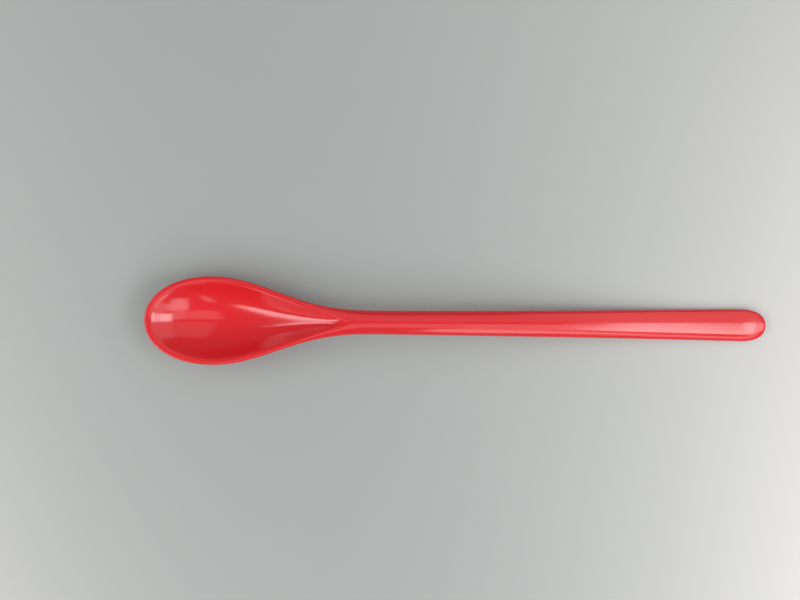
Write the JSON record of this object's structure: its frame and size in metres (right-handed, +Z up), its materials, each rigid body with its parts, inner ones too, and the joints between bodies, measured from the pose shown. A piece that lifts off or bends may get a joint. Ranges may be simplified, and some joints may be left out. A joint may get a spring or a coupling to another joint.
{
  "type": "bar spoon",
  "caption": "One-piece long-handled spoon with a deep teardrop bowl, a slim round neck and a handle that widens to a flat rounded end.",
  "frame": {"origin": "on the table, under the middle of the spoon's length and width, as it rests on its belly and its handle's end", "axes": "+X along the handle away from the bowl, +Z up out of the bowl; the spoon is the same on both sides of Y = 0"},
  "size_m": [0.25, 0.0348, 0.0156],
  "materials": {
    "gloss_red": "gloss"
  },
  "bodies": {
    "root": {"spoon": "gloss_red"}
  },
  "joints": []
}
